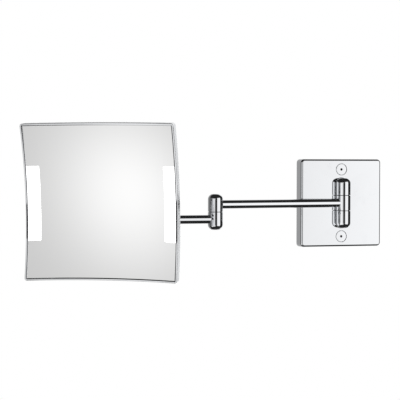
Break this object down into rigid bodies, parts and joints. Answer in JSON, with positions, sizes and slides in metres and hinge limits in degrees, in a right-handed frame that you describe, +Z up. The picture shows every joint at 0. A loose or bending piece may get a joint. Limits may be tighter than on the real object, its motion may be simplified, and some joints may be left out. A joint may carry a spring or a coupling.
{
  "type": "extendable shaving mirror",
  "caption": "Wall-mounted concave square shaving mirror with lit side windows, on a jointed swivel arm with a polished square wall plate.",
  "frame": {"origin": "centre of the back of the wall plate, on the wall", "axes": "+Y into the wall along its normal, so the room is at -Y; +Z up; +X to the right as seen from the room"},
  "size_m": [0.5279, 0.1759, 0.2016],
  "materials": {
    "chrome": "polished",
    "bright_steel": "machined",
    "zinc_plated_steel": "zinc plated",
    "mirror_glass": "silvered",
    "satin_window": "satin, lit from behind",
    "white_plastic": "moulded",
    "black_plastic": "moulded",
    "rubber": "matt",
    "nylon": "moulded",
    "led_board": "solder mask",
    "lead_insulation": "matt"
  },
  "bodies": {
    "wall_plate": {"wall_backplate": "zinc_plated_steel", "plate_cover": "chrome", "cover_screw_upper": "chrome", "cover_screw_lower": "chrome", "led_driver": "white_plastic", "terminal_block": "black_plastic", "inlet_grommet": "rubber", "swivel_fork": "chrome", "fork_screw_upper": "bright_steel", "fork_screw_lower": "bright_steel", "wall_pivot_screw": "bright_steel", "wall_spring_washer": "bright_steel", "wall_friction_washer_upper": "nylon", "wall_friction_washer_lower": "nylon"},
    "wall_arm": {"wall_arm_knuckle": "chrome", "wall_arm_tube": "chrome", "wall_arm_lead": "lead_insulation", "elbow_upper_knuckle": "chrome", "elbow_pivot_screw": "bright_steel"},
    "mirror_arm": {"elbow_lower_knuckle": "chrome", "elbow_spring_washer": "bright_steel", "elbow_friction_washer": "nylon", "mirror_arm_tube": "chrome", "mirror_arm_lead": "lead_insulation", "head_lower_knuckle": "chrome", "head_spring_washer": "bright_steel", "head_friction_washer": "nylon"},
    "tilt_post": {"tilt_post": "chrome", "head_pivot_screw": "bright_steel"},
    "mirror_head": {"tilt_pin": "chrome", "tilt_nut": "chrome", "tilt_washer_left": "nylon", "tilt_washer_right": "nylon", "hinge_bracket": "chrome", "bracket_screw_1": "bright_steel", "bracket_screw_2": "bright_steel", "bracket_screw_3": "bright_steel", "bracket_screw_4": "bright_steel", "rear_cover": "chrome", "rear_cover_screw_1": "bright_steel", "rear_cover_screw_2": "bright_steel", "rear_cover_screw_3": "bright_steel", "rear_cover_screw_4": "bright_steel", "head_grommet": "rubber", "head_frame": "chrome", "mirror_glass": "mirror_glass", "glass_carrier": "black_plastic", "light_window_left": "satin_window", "light_window_right": "satin_window", "light_box_left": "white_plastic", "light_box_right": "white_plastic", "led_strip_left": "led_board", "led_strip_right": "led_board"}
  },
  "joints": [
    {"name": "wall_swivel", "type": "hinge", "parent": "wall_plate", "child": "wall_arm", "pos_m": [0, -0.0225, 0], "axis": [0, 0, 1], "range_deg": [-8, 172]},
    {"name": "elbow_swivel", "type": "hinge", "parent": "wall_arm", "child": "mirror_arm", "pos_m": [-0.19805, -0.05033, 0], "axis": [0, 0, 1], "range_deg": [-95, 105]},
    {"name": "head_swivel", "type": "hinge", "parent": "mirror_arm", "child": "tilt_post", "pos_m": [-0.33805, -0.05033, -0.0195], "axis": [0, 0, 1], "range_deg": [-110, 40]},
    {"name": "head_tilt", "type": "hinge", "parent": "tilt_post", "child": "mirror_head", "pos_m": [-0.33805, -0.05033, 0.0115], "axis": [0.829, -0.5592, 0], "range_deg": [-30, 19]}
  ]
}
